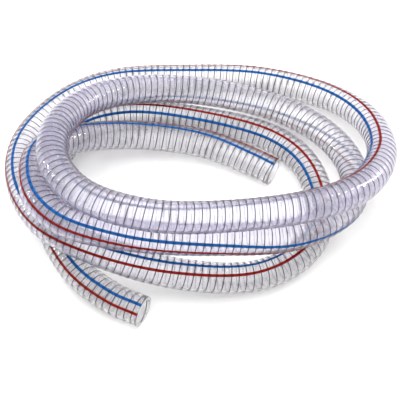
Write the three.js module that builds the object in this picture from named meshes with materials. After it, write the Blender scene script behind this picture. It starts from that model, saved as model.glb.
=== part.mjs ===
// Clear hose with a steel wire spiral in its wall, lying in a loose coil of about three and a half turns.
// Millimetres, +Z up, floor at z = 0, X along the longer side of the coil.
import * as THREE from 'three';

// Driving dimensions
const HOSE_OD = 48;        // outside diameter
const WALL = 5;            // thickness of the wall, which leaves a bore of 38
const SECTION_SIDES = 12;  // sides of the round section
const STEPS_PER_SPAN = 2;  // lengths of wall between two listed points

// The centre line from the cut end at the front to the cut end in the middle: x, y and height of the
// hose's centre, each as a ratio of the outside diameter. 0.50 is a run that lies on the floor.
const ROUTE_RATIO = [
  [-1.71, -4.91, 0.50], [-2.69, -4.43, 0.50], [-3.88, -3.42, 0.50], [-4.85, -1.55, 0.50],
  [-4.96, 0.87, 0.50], [-4.13, 2.36, 0.50], [-2.53, 3.02, 0.50], [-0.02, 2.81, 0.50],
  [2.57, 1.93, 0.50], [3.66, 0.72, 0.50], [3.98, -1.31, 0.50], [3.28, -2.78, 0.51],
  [1.81, -3.66, 0.56], [-0.82, -3.78, 0.93], [-3.38, -3.20, 1.47], [-4.95, -2.19, 1.50],
  [-5.90, -0.27, 1.20], [-5.87, 1.63, 0.93], [-4.70, 3.44, 0.80], [-3.13, 4.44, 0.67],
  [-0.29, 4.83, 0.52], [2.32, 4.69, 0.53], [4.63, 3.74, 0.69], [5.75, 2.36, 1.10],
  [6.01, 0.44, 1.70], [5.24, -1.29, 2.29], [3.75, -2.36, 2.67], [0.98, -3.03, 2.92],
  [-1.53, -3.27, 3.32], [-3.47, -2.62, 3.46], [-4.43, -1.30, 3.32], [-4.52, 0.49, 2.86],
  [-3.66, 2.27, 2.17], [-2.02, 3.25, 1.63], [0.48, 3.51, 1.17], [2.98, 2.95, 0.83],
  [4.56, 1.55, 0.90], [5.12, -0.16, 1.13], [4.67, -1.63, 1.38], [3.04, -2.78, 1.60],
  [0.62, -3.20, 1.89], [-2.20, -3.34, 2.37], [-4.09, -2.92, 2.55], [-4.98, -1.95, 2.51],
  [-5.18, -0.13, 2.15], [-4.47, 0.95, 1.61], [-2.38, 1.74, 0.97], [0.08, 1.62, 0.67],
  [1.79, 0.91, 0.54], [2.53, 0.50, 0.50],
];

// The listed points are closer together where the hose bends more, so the wall's rings are spread evenly
// between them rather than evenly along the length.
class HosePath extends THREE.CatmullRomCurve3 {
  getPointAt(u, target) { return this.getPoint(u, target); }
  getTangentAt(u, target) { return this.getTangent(u, target); }
}
const listed = ROUTE_RATIO.map(([x, y, level]) => new THREE.Vector3(x, y, level).multiplyScalar(HOSE_OD));
const path = new HosePath(listed);

function ring(Kind, diameter) {
  const outline = new Kind();
  for (let i = 0; i < SECTION_SIDES; i++) {
    const a = (2 * Math.PI * i) / SECTION_SIDES;
    const x = (diameter / 2) * Math.cos(a);
    const y = (diameter / 2) * Math.sin(a);
    if (i === 0) outline.moveTo(x, y);
    else outline.lineTo(x, y);
  }
  outline.closePath();
  return outline;
}

const section = ring(THREE.Shape, HOSE_OD);
section.holes.push(ring(THREE.Path, HOSE_OD - 2 * WALL));

const wall = new THREE.Mesh(
  new THREE.ExtrudeGeometry(section, {
    steps: STEPS_PER_SPAN * (ROUTE_RATIO.length - 1),
    curveSegments: 1,
    extrudePath: path,
  }),
  new THREE.MeshStandardMaterial({ name: 'clear_pvc', color: 0xd9d8e8, roughness: 0.15, metalness: 0 }),
);
wall.name = 'hose_wall';

const group = new THREE.Group();
group.name = 'steel_wire_spiral_hose';
group.add(wall);

export default group;
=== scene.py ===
# Clear hose with a steel wire spiral and two tracer lines in its wall, in a loose coil on a pale
# floor. Lengths are in metres.
import math

import bmesh
import bpy
import numpy as np
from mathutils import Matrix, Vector


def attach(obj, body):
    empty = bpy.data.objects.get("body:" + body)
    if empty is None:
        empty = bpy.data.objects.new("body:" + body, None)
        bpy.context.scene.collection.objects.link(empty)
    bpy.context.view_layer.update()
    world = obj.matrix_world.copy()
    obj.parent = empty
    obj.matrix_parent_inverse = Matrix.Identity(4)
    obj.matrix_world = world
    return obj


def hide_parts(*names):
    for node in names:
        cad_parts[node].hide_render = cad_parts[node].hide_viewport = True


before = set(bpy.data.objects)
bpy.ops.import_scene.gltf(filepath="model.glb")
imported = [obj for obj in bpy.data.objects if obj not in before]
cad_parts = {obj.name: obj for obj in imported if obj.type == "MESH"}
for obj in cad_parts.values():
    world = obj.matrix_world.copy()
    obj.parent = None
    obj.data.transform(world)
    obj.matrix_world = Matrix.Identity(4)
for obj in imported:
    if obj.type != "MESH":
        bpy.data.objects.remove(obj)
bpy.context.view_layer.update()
scene = bpy.context.scene

# The hose, as in the model's source
OD = 0.048
BORE = 0.038

# What only the visible pieces have
PITCH = 0.0111  # from one turn of the wire to the next
WIRE = 0.0014  # the wire's thickness
WIRE_INSET = 0.0006  # how far inside each cut face the wire stops
RIB = 0.00030  # the wall stands this much above its mean radius over the wire, below it between
RED_WIDTH = 0.0044
BLUE_WIDTH = 0.0048
TRACER_INSET = 0.0004  # how far inside each cut face the tracers stop
TRACER_SUNK = -0.0005  # the tracers' underside, measured from the wall's surface
TRACER_PROUD = 0.00006  # the middle of their face
TRACER_BLUR = 0.075  # their angle is averaged over this length each way

# How finely the pieces are divided
SAMPLES_PER_POINT = 60
WALL_SIDES = 28
OUTER_RINGS_PER_TURN = 5
INNER_RINGS_PER_TURN = 2
WIRE_SIDES = 5
WIRE_STEPS_PER_TURN = 24
TRACER_STEPS_PER_TURN = 10

# The centre line's listed points, in outside diameters, as in the model's source
ROUTE = [
    (-1.71, -4.91, 0.50), (-2.69, -4.43, 0.50), (-3.88, -3.42, 0.50), (-4.85, -1.55, 0.50),
    (-4.96, 0.87, 0.50), (-4.13, 2.36, 0.50), (-2.53, 3.02, 0.50), (-0.02, 2.81, 0.50),
    (2.57, 1.93, 0.50), (3.66, 0.72, 0.50), (3.98, -1.31, 0.50), (3.28, -2.78, 0.51),
    (1.81, -3.66, 0.56), (-0.82, -3.78, 0.93), (-3.38, -3.20, 1.47), (-4.95, -2.19, 1.50),
    (-5.90, -0.27, 1.20), (-5.87, 1.63, 0.93), (-4.70, 3.44, 0.80), (-3.13, 4.44, 0.67),
    (-0.29, 4.83, 0.52), (2.32, 4.69, 0.53), (4.63, 3.74, 0.69), (5.75, 2.36, 1.10),
    (6.01, 0.44, 1.70), (5.24, -1.29, 2.29), (3.75, -2.36, 2.67), (0.98, -3.03, 2.92),
    (-1.53, -3.27, 3.32), (-3.47, -2.62, 3.46), (-4.43, -1.30, 3.32), (-4.52, 0.49, 2.86),
    (-3.66, 2.27, 2.17), (-2.02, 3.25, 1.63), (0.48, 3.51, 1.17), (2.98, 2.95, 0.83),
    (4.56, 1.55, 0.90), (5.12, -0.16, 1.13), (4.67, -1.63, 1.38), (3.04, -2.78, 1.60),
    (0.62, -3.20, 1.89), (-2.20, -3.34, 2.37), (-4.09, -2.92, 2.55), (-4.98, -1.95, 2.51),
    (-5.18, -0.13, 2.15), (-4.47, 0.95, 1.61), (-2.38, 1.74, 0.97), (0.08, 1.62, 0.67),
    (1.79, 0.91, 0.54), (2.53, 0.50, 0.50),
]

# Where the red tracer line sits around the section at each listed point, in degrees: 0 is the side
# to the left of the run, 90 is the top. The blue line is BLUE_AHEAD further round.
RED_AT = [
    44, 46, 47, 50, 58, 68, 80, 90, 99, 91, 79, 80, 72, 61, 40, 32,
    30, 38, 46, 55, 61, 63, 70, 90, 102, 126, 141, 153, 168, 182, 192, 202,
    219, 234, 246, 256, 275, 300, 318, 336, 361, 371, 402, 403, 390, 396, 400, 408,
    416, 422,
]
BLUE_AHEAD = 37

# The plastic's colours: facing the eye near the floor and high up, then edge on near the floor and
# high up. The darker, more lavender colours high up are painted shade, not a change in the plastic
WALL_SKIN = (
    (0.975, 0.97, 0.98), (0.90, 0.89, 0.955),
    (0.74, 0.72, 0.76), (0.56, 0.50, 0.80),
)
BORE_SKIN = (
    (0.98, 0.975, 0.985), (0.955, 0.95, 0.985),
    (0.87, 0.86, 0.90), (0.80, 0.77, 0.90),
)
CUT_SKIN = ((0.99, 0.985, 1.0),) * 4
# between these heights the colours blend into the painted shade of the higher runs
PAINTED_SHADE_RISE = (0.03, 0.10)  # the heights between which the colours change over
PVC_SHADE = (0.89, 0.89, 0.895)  # how much of a lamp's light each surface of the wall lets through

STEEL_DARK = (0.010, 0.010, 0.011)
STEEL_PALE = (0.028, 0.028, 0.030)
RED_INK = ((0.17, 0.005, 0.004), (0.24, 0.008, 0.006))
BLUE_INK = ((0.004, 0.070, 0.25), (0.010, 0.098, 0.33))
INK_OVER_WIRE = 0.35  # how bright an ink is over the wire
FLOOR_COLOUR = (0.93, 0.925, 0.915)

# The sockets of a Mix node in its colour mode, and the middle of a noise's range
MIX_FACTOR, MIX_ONE, MIX_TWO, MIX_COLOUR = 0, 6, 7, 2
NOISE_MIDDLE = (0.3, 0.7)


# ---- Centre line and the sections along it
def spline(points, per):
    """Centripetal Catmull-Rom through the points, and the parameter of each sample."""
    c = np.asarray(points, float)
    c = np.vstack([2 * c[0] - c[1], c, 2 * c[-1] - c[-2]])
    rows, where = [], []
    t = np.linspace(0, 1, per, endpoint=False)[:, None]
    for i in range(1, len(c) - 2):
        p0, p1, p2, p3 = c[i - 1 : i + 3]
        d0, d1, d2 = (np.sum((b - a) ** 2) ** 0.25 for a, b in ((p0, p1), (p1, p2), (p2, p3)))
        m1 = ((p1 - p0) / d0 - (p2 - p0) / (d0 + d1) + (p2 - p1) / d1) * d1
        m2 = ((p2 - p1) / d1 - (p3 - p1) / (d1 + d2) + (p3 - p2) / d2) * d1
        square = 3 * (p2 - p1) - 2 * m1 - m2
        cube = 2 * (p1 - p2) + m1 + m2
        rows.append(p1 + m1 * t + square * t**2 + cube * t**3)
        where.append(i - 1 + t[:, 0])
    return np.vstack(rows + [c[-2:-1]]), np.concatenate(where + [[len(c) - 3]])


def unit(vectors):
    """The vectors at length 1."""
    return vectors / np.linalg.norm(vectors, axis=-1, keepdims=True)


line, knot = spline(np.array(ROUTE) * OD, SAMPLES_PER_POINT)
along = np.r_[0, np.cumsum(np.linalg.norm(np.diff(line, axis=0), axis=1))]
LENGTH = float(along[-1])
TURNS = LENGTH / PITCH
# every direction comes from the one line, so that rings, wire and tracers agree
heading = np.gradient(line, along, axis=0)
heading[0] = line[1] - line[0]
heading[-1] = line[-1] - line[-2]


def section(s):
    """Centre, left and up of the hose's section at each length s from the outer cut end."""
    centre = np.stack([np.interp(s, along, line[:, k]) for k in range(3)], -1)
    ahead = unit(np.stack([np.interp(s, along, heading[:, k]) for k in range(3)], -1))
    left = unit(np.cross([0.0, 0.0, 1.0], ahead))
    return centre, left, np.cross(ahead, left)


def around(s, angle, radius):
    """Points at the given angle and radius on the sections at s; the arrays broadcast."""
    centre, left, up = section(s)
    ray = np.cos(angle)[..., None] * left + np.sin(angle)[..., None] * up
    return centre + radius[..., None] * ray


def wire_phase(s):
    """The wire's angle round the section at length s. It winds left-handed."""
    return -2 * math.pi * s / PITCH


# ---- Meshes
def mesh_piece(name, verts, faces):
    """A smooth object of quads."""
    mesh = bpy.data.meshes.new(name)
    faces = np.asarray(faces)
    starts = np.arange(len(faces), dtype=np.int32) * faces.shape[1]
    mesh.vertices.add(len(verts))
    mesh.vertices.foreach_set("co", np.asarray(verts, np.float32).ravel())
    mesh.loops.add(faces.size)
    mesh.loops.foreach_set("vertex_index", faces.astype(np.int32).ravel())
    mesh.polygons.add(len(faces))
    mesh.polygons.foreach_set("loop_start", starts)
    mesh.polygons.foreach_set("use_smooth", np.full(len(faces), True))
    mesh.update(calc_edges=True)
    mesh.validate()
    obj = bpy.data.objects.new(name, mesh)
    scene.collection.objects.link(obj)
    return obj


def bridge(rings, sides, first=0, flip=False):
    """Quads between successive closed rings of the same number of points."""
    i, j = np.meshgrid(np.arange(rings - 1), np.arange(sides), indexing="ij")
    a = first + i * sides + j
    b = first + i * sides + (j + 1) % sides
    quads = np.stack([a, b, b + sides, a + sides], -1).reshape(-1, 4)
    return quads[:, ::-1] if flip else quads


def close_ends(obj):
    """A face over each open end."""
    bm = bmesh.new()
    bm.from_mesh(obj.data)
    bmesh.ops.holes_fill(bm, edges=[e for e in bm.edges if e.is_boundary], sides=0)
    bm.to_mesh(obj.data)
    bm.free()


def sleeve(rings, radius, rib):
    """Points of a tube from end to end, whose radius rises by rib over the wire."""
    s = np.linspace(0, LENGTH, rings)[:, None]
    a = np.linspace(0, 2 * math.pi, WALL_SIDES, endpoint=False)[None, :]
    s, a = np.broadcast_arrays(s, a)
    return around(s, a, radius + rib * np.cos(a - wire_phase(s))).reshape(-1, 3)


def hose_wall():
    """The wall, ribbed outside and smooth in its bore, with material 0 outside, 1 in the bore and 2
    on the cut faces."""
    outer_rings = int(TURNS * OUTER_RINGS_PER_TURN) + 1
    inner_rings = int(TURNS * INNER_RINGS_PER_TURN) + 1
    outer = sleeve(outer_rings, OD / 2 - RIB, RIB)
    inner = sleeve(inner_rings, BORE / 2, 0.0)
    n = len(outer)
    last_out, last_in = n - WALL_SIDES, n + len(inner) - WALL_SIDES
    j = np.arange(WALL_SIDES)
    k = (j + 1) % WALL_SIDES
    start_cut = np.stack([j, n + j, n + k, k], -1)
    end_cut = np.stack([last_out + j, last_out + k, last_in + k, last_in + j], -1)
    surfaces = (
        bridge(outer_rings, WALL_SIDES),
        bridge(inner_rings, WALL_SIDES, first=n, flip=True),
        np.vstack([start_cut, end_cut]),
    )
    obj = mesh_piece("clear_hose", np.vstack([outer, inner]), np.vstack(surfaces))
    slots = np.repeat([0, 1, 2], [len(faces) for faces in surfaces]).astype(np.int32)
    return obj, slots


def steel_wire():
    """The wire, halfway through the wall."""
    s = np.linspace(WIRE_INSET, LENGTH - WIRE_INSET, int(TURNS * WIRE_STEPS_PER_TURN) + 1)
    centre = around(s, wire_phase(s), np.full(len(s), (OD + BORE) / 4))
    tangent = unit(np.gradient(centre, axis=0))
    outward = unit(centre - section(s)[0])
    side = np.cross(tangent, outward)
    a = np.linspace(0, 2 * math.pi, WIRE_SIDES, endpoint=False)[None, :, None]
    ring = WIRE / 2 * (np.cos(a) * outward[:, None] + np.sin(a) * side[:, None])
    verts = (centre[:, None] + ring).reshape(-1, 3)
    return mesh_piece("steel_wire", verts, bridge(len(s), WIRE_SIDES))


def tracer(name, ahead, width):
    """A line flush in the outside of the wall, so that it follows the wall's ribs."""
    count = int(TURNS * TRACER_STEPS_PER_TURN)
    s = np.linspace(TRACER_INSET, LENGTH - TRACER_INSET, count)
    red_at = np.interp(np.interp(s, along, knot), range(len(RED_AT)), RED_AT)
    blur = int(TRACER_BLUR / (LENGTH / count))
    window = np.ones(2 * blur + 1) / (2 * blur + 1)
    angle = np.convolve(np.pad(np.radians(red_at + ahead), blur, mode="edge"), window, "valid")
    half = width / OD  # half the width, as an angle
    # the corners of its section, as an angle from its middle and a height over the wall's surface
    corners = (
        (-half, TRACER_SUNK), (half, TRACER_SUNK), (half, 0), (0, TRACER_PROUD), (-half, 0),
    )
    rows = []
    for turn, rise in corners:
        surface = OD / 2 - RIB + RIB * np.cos(angle + turn - wire_phase(s))
        rows.append(around(s, angle + turn, surface + rise))
    obj = mesh_piece(name, np.stack(rows, 1).reshape(-1, 3), bridge(count, len(rows)))
    # 1 where the wire passes underneath, 0 halfway between two turns of it
    over = np.repeat(0.5 + 0.5 * np.cos(angle - wire_phase(s)), len(rows))
    attribute = obj.data.attributes.new("over_wire", "FLOAT", "POINT")
    attribute.data.foreach_set("value", over.astype(np.float32))
    return obj


hose, hose_slots = hose_wall()
wire = steel_wire()
red = tracer("red_tracer", 0, RED_WIDTH)
blue = tracer("blue_tracer", BLUE_AHEAD, BLUE_WIDTH)
for piece in (wire, red, blue):
    close_ends(piece)


# ---- Materials
def material(name, colour, **sockets):
    """A principled material with its sockets set by name; its node tree; its shader."""
    m = bpy.data.materials.new(name)
    m.use_nodes = True
    shader = m.node_tree.nodes["Principled BSDF"]
    shader.inputs["Base Color"].default_value = (*colour, 1)
    for key, value in sockets.items():
        shader.inputs[key.replace("_", " ")].default_value = value
    return m, m.node_tree, shader


def node(tree, kind, **values):
    """A new node with its sockets and properties set by name."""
    n = tree.nodes.new(kind)
    for key, value in values.items():
        if hasattr(n, key):
            setattr(n, key, value)
        else:
            n.inputs[key.replace("_", " ")].default_value = value
    return n


def remap(tree, value, source, target=(0, 1), curve="LINEAR"):
    """The value's range source, mapped to the range target and held inside it."""
    n = node(tree, "ShaderNodeMapRange", interpolation_type=curve)
    ends = ("From Min", "From Max", "To Min", "To Max")
    for key, end in zip(ends, (*source, *target)):
        n.inputs[key].default_value = end
    tree.links.new(value, n.inputs["Value"])
    return n.outputs["Result"]


def noise(tree, scale, target=None, detail=3.0, rough=0.5):
    """Noise over the object in its own metres, its middle mapped to the range target if given."""
    where = node(tree, "ShaderNodeTexCoord")
    n = node(tree, "ShaderNodeTexNoise", Scale=scale, Detail=detail, Roughness=rough)
    tree.links.new(where.outputs["Object"], n.inputs["Vector"])
    fac = n.outputs["Fac"]
    return remap(tree, fac, NOISE_MIDDLE, target) if target else fac


def blend(tree, fac, one, two):
    """Colour one where fac is 0, two where it is 1."""
    n = tree.nodes.new("ShaderNodeMix")
    n.data_type = "RGBA"
    for socket, colour in ((MIX_ONE, one), (MIX_TWO, two)):
        if isinstance(colour, tuple):
            n.inputs[socket].default_value = (*colour, 1)
        else:
            tree.links.new(colour, n.inputs[socket])
    tree.links.new(fac, n.inputs[MIX_FACTOR])
    return n.outputs[MIX_COLOUR]


def bump(tree, shader, height, strength, distance):
    """The shader's surface, raised by the height, up to the distance in metres."""
    n = node(tree, "ShaderNodeBump", Strength=strength, Distance=distance)
    tree.links.new(height, n.inputs["Height"])
    tree.links.new(n.outputs["Normal"], shader.inputs["Normal"])


def clear_plastic(name, skin, rough, ior, transmission):
    """Clear plastic with a faintly uneven skin, lavender edge on, and painted shade high up."""
    face_low, face_high, edge_low, edge_high = skin
    m, tree, shader = material(name, face_low, IOR=ior, Transmission_Weight=transmission)
    tree.links.new(noise(tree, scale=40, target=rough), shader.inputs["Roughness"])
    place = node(tree, "ShaderNodeSeparateXYZ")
    tree.links.new(node(tree, "ShaderNodeTexCoord").outputs["Object"], place.inputs[0])
    # painted shade: the higher the run, the darker and more lavender its colour
    rise = remap(tree, place.outputs["Z"], PAINTED_SHADE_RISE)
    face = blend(tree, rise, face_low, face_high)
    edge = blend(tree, rise, edge_low, edge_high)
    # cloudy patches take the face up to a sixth of the way to the edge's colour
    cloudy = blend(tree, noise(tree, scale=90, target=(0, 0.17)), face, edge)
    facing = node(tree, "ShaderNodeLayerWeight", Blend=0.32)
    tree.links.new(blend(tree, facing.outputs["Facing"], cloudy, edge), shader.inputs["Base Color"])
    grain = noise(tree, scale=260, detail=4.0, rough=0.6)
    bump(tree, shader, grain, strength=0.12, distance=0.0005)
    # lamps shine through the clear wall, which only tints and dims their light a little
    clear = node(tree, "ShaderNodeBsdfTransparent", Color=(*PVC_SHADE, 1))
    rays = node(tree, "ShaderNodeLightPath")
    pick = node(tree, "ShaderNodeMixShader")
    tree.links.new(rays.outputs["Is Shadow Ray"], pick.inputs[0])
    tree.links.new(shader.outputs[0], pick.inputs[1])
    tree.links.new(clear.outputs[0], pick.inputs[2])
    tree.links.new(pick.outputs[0], tree.nodes["Material Output"].inputs["Surface"])
    return m


def wire_steel(name):
    """Dark drawn steel, seen through the wall."""
    m, tree, shader = material(name, STEEL_DARK, Metallic=0.3, Specular_IOR_Level=0.25)
    tree.links.new(noise(tree, scale=900, target=(0.3, 0.55)), shader.inputs["Roughness"])
    drawn = blend(tree, noise(tree, scale=300, target=(0, 1)), STEEL_DARK, STEEL_PALE)
    tree.links.new(drawn, shader.inputs["Base Color"])
    bump(tree, shader, noise(tree, scale=2500), strength=0.15, distance=0.0001)
    return m


def tracer_pvc(name, ink):
    """Mottled ink, darker where the wire passes underneath."""
    deep, bright = ink
    m, tree, shader = material(name, deep, Specular_IOR_Level=0.08)
    over = node(tree, "ShaderNodeAttribute", attribute_name="over_wire").outputs["Fac"]
    tick = remap(tree, over, source=(0.75, 1), target=(0, 0.8), curve="SMOOTHSTEP")
    mottled = blend(tree, noise(tree, scale=120, target=(0, 1)), deep, bright)
    shaded = blend(tree, tick, mottled, tuple(INK_OVER_WIRE * c for c in deep))
    tree.links.new(shaded, shader.inputs["Base Color"])
    tree.links.new(noise(tree, scale=400, target=(0.25, 0.45)), shader.inputs["Roughness"])
    bump(tree, shader, noise(tree, scale=700), strength=0.1, distance=0.0002)
    return m


for skin in (
    clear_plastic("clear_pvc", WALL_SKIN, rough=(0.03, 0.07), ior=1.45, transmission=0.98),
    clear_plastic("bore_pvc", BORE_SKIN, rough=(0.18, 0.30), ior=1.40, transmission=0.90),
    clear_plastic("cut_pvc", CUT_SKIN, rough=(0.35, 0.50), ior=1.20, transmission=0.45),
):
    hose.data.materials.append(skin)
hose.data.polygons.foreach_set("material_index", hose_slots)
wire.data.materials.append(wire_steel("wire_steel"))
red.data.materials.append(tracer_pvc("red_tracer_pvc", RED_INK))
blue.data.materials.append(tracer_pvc("blue_tracer_pvc", BLUE_INK))

# ---- What the pieces ride on and stand for
for piece in (hose, wire, red, blue):
    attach(piece, "root")
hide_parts("hose_wall")

# ---- Floor
FLOOR_SIZE = 14
FLOOR_LEVEL = -0.0004
bpy.ops.mesh.primitive_plane_add(size=FLOOR_SIZE, location=(0, 0, FLOOR_LEVEL))
floor = bpy.context.object
floor.name = "floor"
paint, _, _ = material("floor_white", FLOOR_COLOUR, Roughness=0.9, Specular_IOR_Level=0.1)
floor.data.materials.append(paint)

# ---- Room: bright overhead and dimmer towards the horizon, but white where it is seen directly
ROOM_HEIGHTS = (0.0, 0.7)
ROOM_STRENGTHS = (0.40, 1.04)
world = bpy.data.worlds.new("studio")
scene.world = world
world.use_nodes = True
tree = world.node_tree
background = tree.nodes["Background"]
background.inputs["Color"].default_value = (1, 1, 1, 1)
where = node(tree, "ShaderNodeTexCoord")
height = node(tree, "ShaderNodeSeparateXYZ")
tree.links.new(where.outputs["Generated"], height.inputs[0])
glow = remap(tree, height.outputs["Z"], ROOM_HEIGHTS, ROOM_STRENGTHS, curve="SMOOTHSTEP")
seen = node(tree, "ShaderNodeLightPath")
strength = node(tree, "ShaderNodeMath", operation="MAXIMUM")
tree.links.new(glow, strength.inputs[0])
tree.links.new(seen.outputs["Is Camera Ray"], strength.inputs[1])
tree.links.new(strength.outputs[0], background.inputs["Strength"])


# ---- Lamps
def softbox(name, at, aim, size, power):
    """An area lamp at one point, turned towards another."""
    data = bpy.data.lights.new(name, "AREA")
    data.shape = "RECTANGLE"
    data.size, data.size_y = size
    data.energy = power
    obj = bpy.data.objects.new(name, data)
    scene.collection.objects.link(obj)
    obj.location = at
    look = np.array(aim, float) - np.array(at, float)
    obj.rotation_euler = Vector(look).to_track_quat("-Z", "Y").to_euler()
    return obj


ceiling = softbox("ceiling", at=(0, 0.3, 2.6), aim=(0, 0, 0), size=(3.0, 3.0), power=82)
ceiling.visible_glossy = False
ceiling.visible_transmission = False
# narrow strips to the left and the right, for the streaks along the bends
for strip in (
    softbox("strip_right", at=(1.7, 0.45, 1.05), aim=(0, 0, 0.1), size=(0.14, 0.8), power=20),
    softbox("strip_left", at=(-1.9, 0.35, 0.75), aim=(0, 0, 0.1), size=(0.10, 0.8), power=7),
):
    strip.visible_diffuse = False
    strip.visible_transmission = False

# ---- Camera
AIM = np.array([0.02, -0.32, 0.0]) * OD
DISTANCE = 32.2 * OD
ELEVATION = math.radians(54)
SENSOR_WIDTH = 36
LENS = 85.5
camera_data = bpy.data.cameras.new("camera")
camera_data.sensor_width = SENSOR_WIDTH
camera_data.lens = LENS
camera = bpy.data.objects.new("camera", camera_data)
scene.collection.objects.link(camera)
towards = np.array([0, -math.cos(ELEVATION), math.sin(ELEVATION)])
camera.location = AIM + DISTANCE * towards
camera.rotation_euler = (math.pi / 2 - ELEVATION, 0, 0)
scene.camera = camera

# ---- Light paths: a ray crosses many walls of clear plastic
CLEAR_BOUNCES = 24
scene.view_settings.view_transform = "Standard"
scene.cycles.max_bounces = CLEAR_BOUNCES
scene.cycles.transmission_bounces = CLEAR_BOUNCES
scene.cycles.transparent_max_bounces = CLEAR_BOUNCES
scene.cycles.glossy_bounces = 6
scene.cycles.diffuse_bounces = 4
